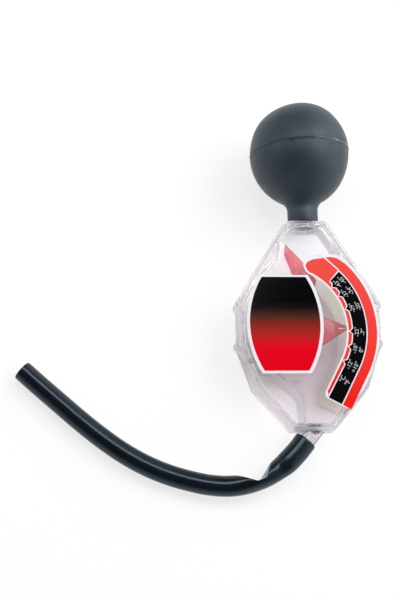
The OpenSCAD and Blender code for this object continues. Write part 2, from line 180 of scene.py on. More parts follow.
def apply_modifiers(obj):
    deps = bpy.context.evaluated_depsgraph_get()
    mesh = bpy.data.meshes.new_from_object(obj.evaluated_get(deps))
    obj.modifiers.clear()
    old = obj.data
    obj.data = mesh
    bpy.data.meshes.remove(old)


def cut(obj, other, operation):
    """Exact boolean with another object, which is used up."""
    mod = obj.modifiers.new("cut", "BOOLEAN")
    mod.operation = operation
    mod.solver = "EXACT"
    mod.use_self = True
    mod.object = other
    apply_modifiers(obj)
    bpy.data.objects.remove(other)


def unit(v):
    return v.normalized()


def polar(c, r, deg):
    a = math.radians(deg)
    return Vector((c[0] + r * math.cos(a), c[1] + r * math.sin(a)))


def arc(c, r, a0, a1, n):
    return [polar(c, r, a0 + (a1 - a0) * i / n) for i in range(n + 1)]


# ------------------------------------------------------------------ material helpers
# the sockets for colours of the Mix node
MIX_A, MIX_B, MIX_OUT = 6, 7, 2


def material(name):
    mat = bpy.data.materials.new(name)
    mat.use_nodes = True
    nodes, links = mat.node_tree.nodes, mat.node_tree.links
    return mat, nodes, links, nodes["Principled BSDF"]


def add(nodes, kind, **values):
    """Node with its properties and the values of its sockets."""
    node = nodes.new(kind)
    for k, v in values.items():
        if hasattr(node, k):
            setattr(node, k, v)
        else:
            node.inputs[k.replace("_", " ")].default_value = v
    return node


def plug(links, socket, value):
    """Links an output to the socket, or sets the socket to a number or a colour."""
    if isinstance(value, bpy.types.NodeSocket):
        links.new(value, socket)
    elif isinstance(value, tuple):
        socket.default_value = (*value, 1)
    else:
        socket.default_value = value


def calc(nodes, links, operation, *values):
    node = add(nodes, "ShaderNodeMath", operation=operation)
    for socket, value in zip(node.inputs, values):
        plug(links, socket, value)
    return node.outputs[0]


def blend(nodes, links, fac, a, b, kind="MIX"):
    """Mix of two colours."""
    node = add(nodes, "ShaderNodeMix", data_type="RGBA", blend_type=kind)
    plug(links, node.inputs["Factor"], fac)
    plug(links, node.inputs[MIX_A], a)
    plug(links, node.inputs[MIX_B], b)
    return node.outputs[MIX_OUT]


def surface(nodes, links, fac, a, b):
    """The material's surface as a mix of two shaders."""
    mix = nodes.new("ShaderNodeMixShader")
    for socket, value in zip(mix.inputs, (fac, a, b)):
        links.new(value, socket)
    links.new(mix.outputs[0], nodes["Material Output"].inputs["Surface"])


def parts_of(nodes, links, vector):
    """X, Y and Z of a vector."""
    sep = nodes.new("ShaderNodeSeparateXYZ")
    links.new(vector, sep.inputs["Vector"])
    return sep.outputs


def grain(nodes, links, scale, detail=3.0, rough=0.55, stretch=None):
    """Noise over the object."""
    coord = nodes.new("ShaderNodeTexCoord")
    out = coord.outputs["Object"]
    if stretch:
        mapping = add(nodes, "ShaderNodeMapping")
        mapping.inputs["Scale"].default_value = stretch
        links.new(out, mapping.inputs["Vector"])
        out = mapping.outputs["Vector"]
    tex = add(nodes, "ShaderNodeTexNoise", Scale=scale, Detail=detail, Roughness=rough)
    links.new(out, tex.inputs["Vector"])
    return tex.outputs["Fac"]


def ramp(nodes, links, fac, stops):
    """Colour ramp with stops of (position, colour)."""
    node = nodes.new("ShaderNodeValToRGB")
    el = node.color_ramp.elements
    while len(el) < len(stops):
        el.new(0.5)
    for e, (pos, col) in zip(el, stops):
        e.position = pos
        e.color = (*col, 1)
    links.new(fac, node.inputs["Fac"])
    return node.outputs["Color"]


def span(nodes, links, fac, lo, hi, a=0.0, b=1.0):
    """Runs from lo to hi while fac runs from a to b."""
    node = nodes.new("ShaderNodeMapRange")
    node.inputs["From Min"].default_value = a
    node.inputs["From Max"].default_value = b
    node.inputs["To Min"].default_value = lo
    node.inputs["To Max"].default_value = hi
    links.new(fac, node.inputs["Value"])
    return node.outputs["Result"]


def bump(nodes, links, bsdf, fac, strength, distance):
    node = add(nodes, "ShaderNodeBump", Strength=strength, Distance=distance)
    links.new(fac, node.inputs["Height"])
    links.new(node.outputs["Normal"], bsdf.inputs["Normal"])


def srgb(*c):
    """Linear colour of values from 0 to 255."""
    return tuple((v / 255 / 12.92) if v / 255 <= 0.04045 else ((v / 255 + 0.055) / 1.055) ** 2.4 for v in c)


def clear_plastic(name, tint, warm, rough=(0.06, 0.36)):
    """Clear moulded plastic: clear through the polished faces and slightly milky on its flanks."""
    mat, nodes, links, bsdf = material(name)
    flow = grain(nodes, links, 45.0, 3.0, 0.6, (1.0, 0.35, 1.0))
    clear = ramp(nodes, links, flow, [(0.36, tint), (0.68, warm)])
    coord = nodes.new("ShaderNodeTexCoord")
    # 1 on the faces, 0 on the flanks
    facing = calc(nodes, links, "ABSOLUTE", parts_of(nodes, links, coord.outputs["Normal"])["Z"])
    links.new(span(nodes, links, facing, rough[1], rough[0], 0.55, 0.97), bsdf.inputs["Roughness"])
    # painted shade and painted pink light: the plastic below the middle is painted darker and pink, where the red
    # print's light and shadow would fall
    red = add(nodes, "ShaderNodeVectorMath", operation="DISTANCE")
    red.inputs[1].default_value = CASE @ Vector((6, 30, 0))
    links.new(coord.outputs["Object"], red.inputs[0])
    near = span(nodes, links, red.outputs["Value"], 1.0, 0.0, 0.006, 0.030)
    face = blend(nodes, links, near, clear, (0.93, 0.865, 0.895), "MULTIPLY")
    # painted light and shade: the flanks are painted pale and warm on the left, where little lamp light reaches
    # them, and darker grey on the right, where the key lamp lights them
    side_shade_fac = span(nodes, links, parts_of(nodes, links, coord.outputs["Object"])["X"], 0.0, 1.0, -0.035, 0.035)
    flank_tint_and_painted_shade = ramp(nodes, links, side_shade_fac, [(0.1, (0.91, 0.875, 0.885)), (0.5, (0.85, 0.84, 0.865)),
                                        (0.9, (0.68, 0.69, 0.715))])
    polished = span(nodes, links, facing, 0.0, 1.0, 0.3, 0.97)
    links.new(blend(nodes, links, polished, flank_tint_and_painted_shade, face), bsdf.inputs["Base Color"])
    bsdf.inputs["IOR"].default_value = 1.40
    links.new(span(nodes, links, facing, 0.80, 0.97, 0.3, 0.97), bsdf.inputs["Transmission Weight"])
    bump(nodes, links, bsdf, grain(nodes, links, 90.0, 2.0, 0.5), 0.12, 0.0004)
    # lamps shine through the thin walls, so that what is inside is lit
    film = add(nodes, "ShaderNodeBsdfTransparent", Color=(0.965, 0.94, 0.955, 1))
    path = nodes.new("ShaderNodeLightPath")
    surface(nodes, links, path.outputs["Is Shadow Ray"], bsdf.outputs[0], film.outputs[0])
    return mat


def rubber(name, dark, light, rough, scale, grainy, shine, tint):
    """Moulded rubber with a fine grain. tint is the colour of its shine."""
    mat, nodes, links, bsdf = material(name)
    cloud = grain(nodes, links, scale * 0.2, 4.0, 0.6)
    links.new(ramp(nodes, links, cloud, [(0.3, dark), (0.7, light)]), bsdf.inputs["Base Color"])
    links.new(span(nodes, links, grain(nodes, links, scale, 4.0), rough[0], rough[1], 0.3, 0.7),
              bsdf.inputs["Roughness"])
    bsdf.inputs["Specular IOR Level"].default_value = shine
    bsdf.inputs["Specular Tint"].default_value = (*tint, 1)
    bump(nodes, links, bsdf, grain(nodes, links, scale * 9, 3.0, 0.6), grainy, 0.00008)
    return mat


def tinted(name, deep, pale, clear):
    """See-through coloured plastic of a small moulding."""
    mat, nodes, links, bsdf = material(name)
    cloud = grain(nodes, links, 130.0, 3.0)
    links.new(ramp(nodes, links, cloud, [(0.3, deep), (0.7, pale)]), bsdf.inputs["Base Color"])
    links.new(span(nodes, links, cloud, 0.12, 0.3, 0.35, 0.7), bsdf.inputs["Roughness"])
    bsdf.inputs["Transmission Weight"].default_value = clear
    bsdf.inputs["IOR"].default_value = 1.42
    bump(nodes, links, bsdf, grain(nodes, links, 400.0, 2.0), 0.2, 0.0001)
    return mat


def print_film(name, colour, rough=(0.11, 0.17), along=None):
    """Printed film of one colour, or with along one whose colour has stops from y0 to y1 of the case."""
    mat, nodes, links, bsdf = material(name)
    fine = grain(nodes, links, 900.0, 2.0)
    if along:
        start, end = [(CASE @ Vector((0, y, HALF_T))).y for y in along]
        coord = nodes.new("ShaderNodeTexCoord")
        y = parts_of(nodes, links, coord.outputs["Object"])["Y"]
        base = ramp(nodes, links, span(nodes, links, y, 0.0, 1.0, start, end), colour)
    else:
        base = ramp(nodes, links, fine, [(0.3, tuple(v * 0.93 for v in colour)), (0.7, colour)])
    links.new(base, bsdf.inputs["Base Color"])
    links.new(span(nodes, links, fine, rough[0], rough[1], 0.3, 0.7), bsdf.inputs["Roughness"])
    bsdf.inputs["Specular IOR Level"].default_value = 0.05
    bump(nodes, links, bsdf, grain(nodes, links, 700.0, 2.0), 0.12, 0.00005)
    return mat


def metal(name, dark, light, rough, stretch):
    """Turned or drawn metal with fine lines."""
    mat, nodes, links, bsdf = material(name)
    lines = grain(nodes, links, 500.0, 2.0, 0.5, stretch)
    links.new(ramp(nodes, links, lines, [(0.3, dark), (0.7, light)]), bsdf.inputs["Base Color"])
    links.new(span(nodes, links, lines, rough[0], rough[1], 0.3, 0.7), bsdf.inputs["Roughness"])
    bsdf.inputs["Metallic"].default_value = 1.0
    bump(nodes, links, bsdf, lines, 0.3, 0.00004)
    return mat


def paint_seam_highlight(mat):
    """Paints a pale highlight on the bulb's moulding line in places on its right side, where light catches its
    ridge.
    """
    nodes, links = mat.node_tree.nodes, mat.node_tree.links
    bsdf = nodes["Principled BSDF"]
    coord = nodes.new("ShaderNodeTexCoord")
    off = add(nodes, "ShaderNodeVectorMath", operation="SUBTRACT")
    off.inputs[1].default_value = CASE @ Vector((0, BULB_Y, 0))
    links.new(coord.outputs["Object"], off.inputs[0])
    dot = add(nodes, "ShaderNodeVectorMath", operation="DOT_PRODUCT")
    dot.inputs[1].default_value = (CASE.to_3x3() @ Vector((-0.035, 1, 0))).normalized()
    links.new(off.outputs["Vector"], dot.inputs[0])
    away = calc(nodes, links, "ABSOLUTE", dot.outputs["Value"])
    on_line = span(nodes, links, away, 1.0, 0.0, 0.00018, 0.0004)
    on_right = span(nodes, links, parts_of(nodes, links, off.outputs["Vector"])["X"], 0.0, 1.0, 0.002, 0.009)
    highlight_patches = span(nodes, links, grain(nodes, links, 160.0, 2.0), 0.0, 0.75, 0.4, 0.62)
    fac = calc(nodes, links, "MULTIPLY", calc(nodes, links, "MULTIPLY", on_line, on_right), highlight_patches)
    base = bsdf.inputs["Base Color"].links[0].from_socket
    # painted highlight: the pale colour of the seam's ridge where it catches the light
    links.new(blend(nodes, links, fac, base, srgb(150, 160, 170)), bsdf.inputs["Base Color"])


CLEAR = clear_plastic("clear_case", (0.89, 0.897, 0.91), (0.925, 0.905, 0.91))
CLEAR_TUBE = clear_plastic("clear_tube", (0.905, 0.905, 0.925), (0.935, 0.915, 0.925), (0.08, 0.25))
BULB = rubber("bulb_rubber", srgb(31, 42, 49), srgb(39, 51, 59), (0.40, 0.52), 240.0, 0.3, 0.47,
              (0.80, 0.91, 1.0))
BULB.node_tree.nodes["Principled BSDF"].inputs["Sheen Weight"].default_value = 0.06
BULB.node_tree.nodes["Principled BSDF"].inputs["Sheen Roughness"].default_value = 0.4
paint_seam_highlight(BULB)
HOSE = rubber("hose_rubber", srgb(11, 17, 22), srgb(16, 24, 30), (0.17, 0.24), 200.0, 0.08, 0.50,
              (0.62, 0.82, 1.0))
RED_FLOAT = tinted("red_float", srgb(236, 68, 92), srgb(244, 88, 112), 0.88)
RED_BLADE = tinted("red_blade", srgb(218, 46, 74), srgb(226, 60, 88), 0.88)
# painted shade and painted reflection for the mouths of the fittings' bores
BORE_PAINTED_SHADE = tinted("bore_painted_shade", srgb(98, 108, 126), srgb(118, 128, 146), 0.6)
BORE_PAINTED_DARK = tinted("bore_painted_dark", srgb(38, 44, 58), srgb(52, 58, 74), 0.15)
WHITE = print_film("label_white", srgb(229, 229, 236), (0.25, 0.35))
BACKING = print_film("label_back", srgb(236, 236, 220), (0.45, 0.6))
BACKING_ROSE = print_film("badge_back", srgb(252, 240, 236), (0.45, 0.6))
PRINT_RED = print_film("print_red", [(0.0, srgb(230, 34, 26)), (0.45, srgb(232, 62, 54)),
                                     (1.0, srgb(229, 75, 68))], along=(14.0, 82.0))
PRINT_BLACK = print_film("print_black", srgb(9, 9, 10))
PRINT_WHITE = print_film("print_white", srgb(196, 197, 200))
BADGE_Y = (28.4, 74.6)
BADGE = print_film("badge_print", [(0.24, srgb(218, 4, 26)), (0.41, srgb(158, 37, 31)), (0.58, srgb(68, 37, 30)),
                                   (0.67, srgb(18, 13, 12)), (0.74, srgb(3, 3, 3))], along=BADGE_Y)
BRASS = metal("weight_brass", srgb(176, 138, 78), srgb(208, 172, 108), (0.25, 0.4), (1, 1, 12))
STEEL = metal("pin_steel", srgb(160, 162, 166), srgb(196, 198, 202), (0.2, 0.35), (1, 1, 10))


def dress(obj, mat):
    obj.data.materials.clear()
    obj.data.materials.append(mat)


# ------------------------------------------------------------------ hose
HOSE_R, HOSE_BORE, HOSE_MOUTH = 0.005, 0.0034, 0.0041
# the flat fold in the first bend: its place, how far it runs to either side, its depth and its lean
FOLD_AT, FOLD_BEFORE, FOLD_AFTER, FOLD_DEPTH, FOLD_LEAN = 0.0314, 0.0125, 0.0135, 0.0060, 0.0032


def spout_pt(s):
    """Point on the spout's axis, s away from the bottom of the case."""
    return CASE @ Vector((-s * math.sin(SPOUT_TURN), -s * math.cos(SPOUT_TURN), 0))


HOSE_BEND = [(-14.6, -92.3, 8.4), (-22.4, -96.9, 7.5), (-31, -99.9, 6.6), (-40, -101.1, 5.9), (-50, -100.3, 5.4),
             (-60, -98, 5.1), (-70, -94.8, 5), (-80, -90.4, 5), (-90, -84.6, 5), (-100, -77.4, 5),
             (-110, -69.2, 5), (-120, -60.3, 5), (-130, -51.3, 5), (-138.6, -43.3, 5)]
HOSE_PATH = [spout_pt(4.8), spout_pt(12)] + [Vector(p) * MM for p in HOSE_BEND]


def curve_through(pts, per):
    """Points on a smooth line through pts, per of them for each stretch."""
    out = []
    for i in range(len(pts) - 1):
        p0, p1, p2, p3 = pts[max(i - 1, 0)], pts[i], pts[i + 1], pts[min(i + 2, len(pts) - 1)]
        m1 = (p2 - p0) * ((p2 - p1).length / max((p2 - p0).length, 1e-9))
        m2 = (p3 - p1) * ((p2 - p1).length / max((p3 - p1).length, 1e-9))
        for k in range(per):
            t = k / per
            out.append(p1 * (2 * t ** 3 - 3 * t ** 2 + 1) + m1 * (t ** 3 - 2 * t ** 2 + t)
                       + p2 * (3 * t ** 2 - 2 * t ** 3) + m2 * (t ** 3 - t ** 2))
    out.append(pts[-1])
    return out


def make_hose():
    line = curve_through(HOSE_PATH, 14)
    n, last = 40, len(line) - 1
    lengths = [0.0]
    for a, b in zip(line, line[1:]):
        lengths.append(lengths[-1] + (b - a).length)
    total = lengths[-1]
    bm = bmesh.new()

    def section(i, r, inner=False):
        t = unit(line[min(i + 1, last)] - line[max(i - 1, 0)])
        side = unit(t.cross(Vector((0, 0, 1))))
        up = side.cross(t)
        # the inner wall of the first bend has folded flat, and the tube is taller and thinner there
        s = lengths[i] - FOLD_AT
        k = max(0.0, 1 + s / FOLD_BEFORE) ** 1.15 if s < 0 else max(0.0, 1 - s / FOLD_AFTER) ** 1.5
        lean = FOLD_LEAN * min(1.0, 1.6 * k) * min(1.0, -s / 0.0048) if s < 0 else 0.0
        pts = []
        for j in range(n):
            a = 2 * math.pi * j / n
            x, z = r * math.cos(a), r * math.sin(a) * (1 + 0.30 * k)
            if not inner:
                soft = 0.0013 if k > 0 else 0.0001
                limit = r + soft - (FOLD_DEPTH + soft) * k - lean * (0.5 + 0.5 * math.sin(a)) ** 1.4
                h = max(0.0, min(1.0, 0.5 + 0.5 * (x - limit) / soft))
                x = x * (1 - h) + limit * h - soft * h * (1 - h)
            pts.append(line[i] + side * x + up * max(z, 0.0002 - line[i].z))
        return pts

    rings = []
    for i, s in enumerate(lengths):
        # the hose is wider where it grips the tube, and its edges are a little round
        grip = 1.0 - min(1.0, max(0.0, (s - 0.0130) / 0.0075))
        grip = grip * grip * (3 - 2 * grip)
        r = HOSE_R + 0.00056 * grip
        if s < 0.0004:
            r -= 0.0003
        if total - s < 0.0003:
            r -= 0.00015
        rings.append(section(i, r))
    # hollow: the cut end at the far side, and the mouth that is pushed over the tube
    rows = loft(bm, rings)
    far = [section(i, HOSE_BORE + (0.00012 if i == last else 0), True) for i in range(last, last - 22, -1)]
    skin(bm, rows[-1], loft(bm, far, cap_end=True)[0])
    mouth = [section(i, HOSE_MOUTH + (0.0006 if i == 0 else 0), True) for i in range(0, 9)]
    skin(bm, loft(bm, mouth, cap_end=True)[0], rows[0])
    hose = link("suction_hose", bm, None, 50)
    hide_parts("hose")
    dress(hose, HOSE)


make_hose()


# ------------------------------------------------------------------ bulb
def quad(a, b, c, t):
    """Point on a bow from a to c."""
    return [a[i] * (1 - t) ** 2 + b[i] * 2 * t * (1 - t) + c[i] * t * t for i in (0, 1)]


def make_bulb():
    r, a, rise, wall, neck = BULB_R, BULB_A, BULB_RISE, 2.2, 7.6
    # over the top, the moulding line, down to the neck, and back up inside
    prof = [(0.0, a)]
    for k in range(1, 42):
        t = math.radians(90 - 88.9 * k / 41)
        prof.append((r * math.cos(t), a * math.sin(t)))
    prof += [(r + 0.02, 0.3), (r + 0.14, 0.18), (r + SEAM_H, 0.04), (r + SEAM_H, -0.05), (r + 0.1, -0.16),
             (r, -0.26)]
    for k in range(1, 28):
        t = math.radians(-1.2 - 59.5 * k / 27)
        prof.append((r * math.cos(t), (a + 1.1) * math.sin(t)))
    low = (r * math.cos(math.radians(-62)), (a + 1.1) * math.sin(math.radians(-62)))
    for k in range(0, 13):
        prof.append(tuple(quad(low, (8.2, -a + 0.3), (neck, -a - 3.4), k / 12)))
    prof += [(neck, -a - 5), (7.58, -rise + 0.5), (7.45, -rise + 0.15), (7.2, -rise), (6.08, -rise),
             (6.08, -rise + 6), (6.4, -rise + 7), (5.9, -rise + 9), (5.6, -rise + 9.8)]
    for t in range(-68, 90, 8):
        prof.append(((r - wall) * math.cos(math.radians(t)), (a - wall) * math.sin(math.radians(t))))
    prof.append((0.0, a - wall))
    bm = bmesh.new()
    lathe(bm, prof, 144, around=False)
    for v in bm.verts:
        # hand-made softness: the wall is a little uneven, and the flash along the seam comes and goes
        ang = math.atan2(v.co.z, v.co.x)
        rad = math.hypot(v.co.x, v.co.z)
        if rad > r - 1.5 and abs(v.co.y) < 0.3:
            f = 0.5 + 0.35 * noise.noise(Vector((3 * math.cos(ang), 3 * math.sin(ang), 5)))
            k = (r + (rad - r) * max(0.2, min(1.0, f * 1.3))) / rad
            v.co.x *= k
            v.co.z *= k
        if rad > 7.4 and v.co.y > -a:
            d = 0.10 * noise.noise(Vector((v.co.x, v.co.y, v.co.z)) * 0.06)
            k = 1 - abs(d) / max(rad, 8)
            v.co.x *= k
            v.co.z *= k
        # the soft bulb leans a little on its neck, its seam runs askew and its top is a little flat
        if v.co.y > -29:
            t = min(1.0, (v.co.y + 29) / 14)
            v.co.x -= 0.45 * t * t * (3 - 2 * t)
            v.co.y += 0.035 * v.co.x * math.exp(-(v.co.y / 9) ** 2)
            if v.co.y > 12:
                t = (v.co.y - 12) / 14.5
                v.co.x += 1.7 * t * t
                v.co.y -= 0.75 * t * t
    bm.transform(Matrix.Translation((0, BULB_Y, 0)))
    # a small stub of the mould's vent beside the seam, on the front
    stub = bmesh.new()
    rod(stub, (0, 0), 0.35, 0, 0.7, 16)
    top_edges = [e for e in stub.edges if all(v.co.z > 0.5 for v in e.verts)]
    bmesh.ops.bevel(stub, geom=top_edges, offset=0.15, segments=2)
    place = Vector((-7.6, -1.9, 0))
    out = Vector((place.x, place.y * 0.9, math.sqrt(r * r - place.x ** 2 - place.y ** 2) - 0.3))
    rot = Vector((0, 0, 1)).rotation_difference(out.normalized()).to_matrix().to_4x4()
    stub.transform(Matrix.Translation(Vector((0, BULB_Y, 0)) + out) @ rot)
    merge(bm, stub)
    bulb = link("squeeze_bulb", bm, CASE, 40)
    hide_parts("bulb")
    dress(bulb, BULB)


make_bulb()


# ------------------------------------------------------------------ clear case
WALL, LEAN, EDGE_R, CORNER_R, FACE_Z, RIB = 2.0, 1.2, 1.0, 4.0, 8.5, 0.7
HALF_W, BUMP_MID, BUMP_STEP, BUMP_H = 35.2, 52.25, 9.5, 1.0
RIGHT = [(10, CASE_LEN), (22.7, 84.5), (HALF_W, 63.5), (HALF_W, 41), (28.3, 21), (10, 0)]
CORNERS = [Vector(p) for p in RIGHT] + [Vector((-x, y)) for x, y in RIGHT[::-1]]
# the corners at which the two sides with finger bumps begin
BUMPED = (2, 8)


def right_of(a, b):
    d = unit(b - a)
    return Vector((d.y, -d.x))


def moved_in(pts, e):
    """Plan drawn in by e on all sides."""
    out, n = [], len(pts)
    for i in range(n):
        p, q = right_of(pts[i - 1], pts[i]), right_of(pts[i], pts[(i + 1) % n])
        out.append(pts[i] + (p + q) * e / (1 + p.dot(q)))
    return out


def outline(e, steps=10, fine=True):
    """Rounded outline of the case drawn in by e, with one count of points for every e; fine suits the bumps."""
    pts, n, r = moved_in(CORNERS, e), len(CORNERS), max(CORNER_R - e, 0.6)
    out = []
    for i in range(n):
        b = pts[i]
        u, v = unit(pts[i - 1] - b), unit(pts[(i + 1) % n] - b)
        half = math.acos(max(-1, min(1, u.dot(v)))) / 2
        c = b + unit(u + v) * r / math.sin(half)
        f = b + u * r / math.tan(half) - c
        for k in range(steps + 1):
            a = -(math.pi - 2 * half) * k / steps
            out.append(c + Vector((f.x * math.cos(a) - f.y * math.sin(a), f.x * math.sin(a) + f.y * math.cos(a))))
    if not fine:
        return out
    dense = []
    for i, p in enumerate(out):
        q = out[(i + 1) % len(out)]
        last = (i % (steps + 1)) == steps
        m = (40 if i // (steps + 1) in BUMPED else 12) if last else 1
        dense += [p.lerp(q, k / m) for k in range(m)]
    return dense


def bumped(pts, z):
    """The finger bumps on both flanks, which fade towards the faces."""
    low, half = BUMP_H + LEAN, 3.0
    r = (half * half + low * low) / (2 * low)
    fade = min(1.0, max(0.0, (6.6 - z) / 2.2))
    fade = fade * fade * (3 - 2 * fade)
    xc = HALF_W + BUMP_H - r
    out = []
    for p in pts:
        x, y = abs(p.x), p.y
        if x > 30 and 38 < y < 66:
            for mid in (BUMP_MID - BUMP_STEP, BUMP_MID + BUMP_STEP):
                d = abs(y - mid)
                if d < r:
                    x += max(0.0, xc + math.sqrt(r * r - d * d) - x) * fade
        out.append(Vector((math.copysign(x, p.x), y)))
    return out


def flat(pts, z):
    return [Vector((p.x, p.y, z)) for p in pts]


def outer_rings():
    """Half of the case's outside: the weld bead, the leaning side with its bumps, and the rounded edge."""
    h, rr = HALF_T, EDGE_R
    rings = [flat(outline(-0.22), 0.0), flat(outline(-0.3), 0.1), flat(outline(-0.3), 0.34),
             flat(outline(-0.2), 0.47), flat(outline(0.0), 0.52)]
    side = [0.7, 1.5, 2.5, 3.4, 4.0, 4.4, 4.8, 5.2, 5.6, 6.0, 6.4, 6.8, 7.6, 8.6, 9.2]
    rings += [flat(bumped(outline(LEAN * (1 - rr / h) * z / (h - rr)), z), z) for z in side]
    for k in range(0, 9):
        t = math.pi / 2 * k / 8
        e = LEAN * (1 - rr / h) + (LEAN * rr / h + rr) * (1 - math.cos(t))
        rings.append(flat(outline(e), h - rr + rr * math.sin(t)))
    rings.append(flat(outline(LEAN + rr + 0.25), h))
    return rings


def inner_rings():
    h, rr = FACE_Z, 0.8
    rings = [flat(outline(WALL), 0.0)]
    for z in (0.5, 2, 4, 6, h - rr - 0.3):
        rings.append(flat(outline(WALL + LEAN * (1 - rr / h) * z / (h - rr)), z))
    for k in range(0, 7):
        t = math.pi / 2 * k / 6
        e = WALL + LEAN * (1 - rr / h) + (LEAN * rr / h + rr) * (1 - math.cos(t))
        rings.append(flat(outline(e), h - rr + rr * math.sin(t)))
    rings.append(flat(outline(WALL + LEAN + rr + 0.25), h))
    return rings


def strip_plan(line, half):
    """Plan of a wall of even thickness along a bent line, with round ends."""
    left, right = [], []
    n = len(line)
    for i, p in enumerate(line):
        if i == 0:
            d = unit(line[1] - p)
        elif i == n - 1:
            d = unit(p - line[i - 1])
        else:
            d = unit(unit(p - line[i - 1]) + unit(line[i + 1] - p))
        s = Vector((-d.y, d.x)) * half
        if 0 < i < n - 1:
            s = s / max(0.3, d.dot(unit(line[i + 1] - p)))
        left.append(p + s)
        right.append(p - s)
    d = unit(line[-1] - line[-2])
    a0 = math.degrees(math.atan2(-d.x, d.y)) + 180
    tip = [polar(line[-1], half, a0 - 180 * k / 6) for k in range(1, 6)]
    return left + tip + right[::-1]


def rounded_line(pts, r, n=5):
    """A bent line with its corners rounded."""
    out = [pts[0]]
    for i in range(1, len(pts) - 1):
        b = pts[i]
        u, v = pts[i - 1] - b, pts[i + 1] - b
        k = min(r, u.length * 0.45, v.length * 0.45)
        p, q = b + unit(u) * k, b + unit(v) * k
        for j in range(n + 1):
            t = j / n
            out.append(p * (1 - t) ** 2 + b * 2 * t * (1 - t) + q * t * t)
    out.append(pts[-1])
    return out


def half_width(y):
    """Half of the case's width at y, for a y within its length."""
    pts = [(p[1], p[0]) for p in RIGHT[::-1]]
    for (y0, x0), (y1, x1) in zip(pts, pts[1:]):
        if y0 <= y <= y1:
            return x0 + (x1 - x0) * (y - y0) / (y1 - y0)


# from a turned piece along z to the slanted spout
SPOUT = Matrix.Rotation(-SPOUT_TURN, 4, "Z") @ Matrix.Rotation(math.radians(90), 4, "X")


def make_shell(name, rear):
    """The front half, or the rear half as its mirror image with the blade's pegs."""
    bm = bmesh.new()
    outer, inner = outer_rings(), inner_rings()
    loft(bm, outer[::-1] + inner, cap_start=True, cap_end=True)
    shell = link(name, bm, None, 30, None)
    # inside walls and bosses
    ribs = bmesh.new()
    top = FACE_Z + 0.8
    for side in (-1, 1):
        line = rounded_line([Vector((side * 14.5, 96.9)), Vector((side * 14.5, 85)),
                             Vector((side * (half_width(68.5) - 1.0), 68.5))], 5)
        prism(ribs, strip_plan(line, RIB), -0.5, top)
    guide = rounded_line([Vector((1.0 - half_width(35), 35)), Vector((-19.2, 29.2)), Vector((-7, 18.8)),
                          Vector((-4.8, 15.4)), Vector((-4.8, 4.0))], 3)
    prism(ribs, strip_plan(guide, RIB), -0.5, top)
    rod(ribs, (PIVOT.x, PIVOT.y), 2.8, 3.1, top, 40)
    if rear:
        for c in PEGS:
            rod(ribs, c, 2.5, 6.5, top, 32)
            rod(ribs, c, 1.3, 4.6, top, 32)
    walls = link("walls", ribs, None, 30, None)
    # the walls end at the weld plane and within the sides
    keep = bmesh.new()
    loft(keep, [flat(outline(1.6, fine=False), z) for z in (0.0, 30.0)], cap_start=True, cap_end=True)
    cut(walls, link("keep", keep, None, 30, None), "INTERSECT")
    cut(shell, walls, "UNION")
    # bores for the nipple, its collar, the bulb's neck, the spout's collar, the pin and the spout
    tools = bmesh.new()
    rod(tools, (0, 0), 6.05, 99, 108, 64, "y")
    rod(tools, (0, 0), 7.55, 101.25, 102.5, 64, "y")
    rod(tools, (0, 0), 7.65, 104.5, 106, 64, "y")
    rod(tools, (0, 0), 6.55, 2.0, 3.25, 64, "y")
    rod(tools, (PIVOT.x, PIVOT.y), 1.0, 2.0, 7.5, 40)
    slant = bmesh.new()
    rod(slant, (0, 0), 4.55, -18, 14, 64)
    slant.transform(SPOUT)
    merge(tools, slant)
    cut(shell, link("tools", tools, None, 30, None), "DIFFERENCE")
    if rear:
        shell.data.transform(Matrix.Scale(-1, 4, (0, 0, 1)))
        shell.data.flip_normals()
    # a hair between the two halves at the weld
    shell.data.transform(Matrix.Translation((0, 0, -0.01 if rear else 0.01)))
    shell.data.transform(CASE)
    smooth(shell, 30)
    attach(shell, "tester")
    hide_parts("rear_shell" if rear else "front_shell")
    dress(shell, CLEAR)


make_shell("case_front", False)
make_shell("case_rear", True)


# ------------------------------------------------------------------ fittings
def paint_bore_shade(obj, mat, axis, r, where):
    """Paints the mouth of a fitting's bore dark: painted shade, and a painted reflection of the dark rubber
    behind it as it is mirrored in its wall.
    """
    obj.data.materials.append(mat)
    back = CASE.inverted()
    for poly in obj.data.polygons:
        p = back @ poly.center
        if (p - axis * p.dot(axis)).length < r and where(p):
            poly.material_index = 1


def make_nipple():
    bm = bmesh.new()
    # collar, tube with a barb for the bulb's neck, and the bore
    low, top, r, b = 101.3, 113.5, 6.0, 4.8
    prof = [(7.35, low), (7.5, low + 0.15), (7.5, low + 1.1), (7.4, low + 1.2), (r, low + 1.2), (r, 110.5),
            (6.4, 111.4), (6.38, 111.6), (5.8, top - 0.05), (5.6, top), (b + 0.1, top), (b, top - 0.1),
            (b, low + 1.1), (b + 0.45, low + 0.1), (b + 0.6, low)]
    lathe(bm, prof, 72)
    obj = link("bulb_fitting", bm, CASE, 40)
    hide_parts("bulb_nipple")
    dress(obj, CLEAR_TUBE)
    paint_bore_shade(obj, BORE_PAINTED_SHADE, Vector((0, 1, 0)), 5.45, lambda p: 102.2 < p.y < 108)


